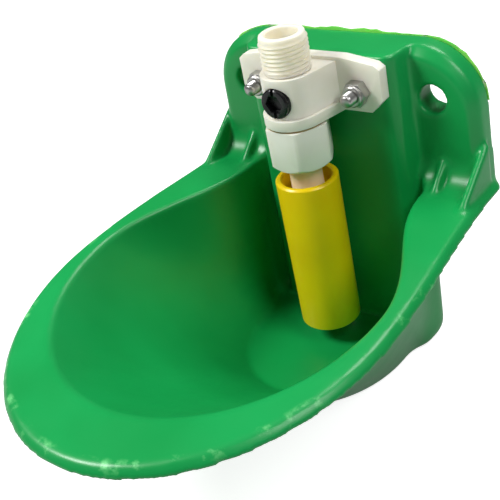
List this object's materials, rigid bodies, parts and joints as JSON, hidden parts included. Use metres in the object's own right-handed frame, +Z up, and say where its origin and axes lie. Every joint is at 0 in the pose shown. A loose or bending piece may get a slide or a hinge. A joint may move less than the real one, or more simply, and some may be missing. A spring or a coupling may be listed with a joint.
{
  "type": "livestock drinking bowl",
  "caption": "Wall-mounted plastic drinking bowl for livestock, with a tilting tube that opens a spring-loaded water valve over the bowl.",
  "frame": {"origin": "midway between the two wall holes, on the face that lies against the wall", "axes": "+X across the wall, +Y into the wall, +Z up; the animal stands at -Y"},
  "size_m": [0.1644, 0.2104, 0.157],
  "materials": {
    "green_shell": "satin moulding",
    "white_body": "satin moulding",
    "ivory_nipple": "satin moulding",
    "white_nut": "satin moulding",
    "cream_stem": "satin moulding",
    "yellow_tube": "satin moulding",
    "black_plug": "glossy",
    "grey_ring": "plain",
    "steel": "bright",
    "seal": "plain"
  },
  "bodies": {
    "bowl": {"bowl_shell": "green_shell", "valve_body": "white_body", "inlet_nipple": "ivory_nipple", "inlet_seal": "seal", "valve_spring": "steel", "seat_seal": "seal", "seat_retainer": "grey_ring", "cap_nut": "white_nut", "cap_nut_seal": "seal", "mounting_bolt_left": "steel", "bolt_washer_left": "steel", "lock_nut_left": "steel", "mounting_bolt_right": "steel", "bolt_washer_right": "steel", "lock_nut_right": "steel"},
    "regulator": {"flow_regulator": "black_plug", "regulator_o_ring": "seal"},
    "plunger": {"plunger": "steel"},
    "swivel": {"swivel_ring": "grey_ring"},
    "drinking_stem": {"stem": "cream_stem", "drinking_tube": "yellow_tube", "tube_washer": "steel", "tube_screw": "steel"}
  },
  "joints": [
    {"name": "tube_swivel", "type": "hinge", "parent": "bowl", "child": "swivel", "pos_m": [0, -0.043, -0.0115], "axis": [0, 0, 1], "range_deg": [-90, 90]},
    {"name": "stem_tilt", "type": "hinge", "parent": "swivel", "child": "drinking_stem", "pos_m": [0, -0.043, -0.0115], "axis": [-1, 0, 0], "range_deg": [0, 10]},
    {"name": "plunger_lift", "type": "slide", "parent": "bowl", "child": "plunger", "axis": [0, 0, 1], "range_m": [0, 0.0006], "deforming": ["valve_spring"]},
    {"name": "regulator_turn", "type": "hinge", "parent": "bowl", "child": "regulator", "pos_m": [0, -0.043, 0.0126], "axis": [0, -1, 0], "range_deg": [0, 90]}
  ],
  "couplings": [
    {"joint": "plunger_lift", "follows": "stem_tilt", "m_per_rad": 0.003437}
  ]
}
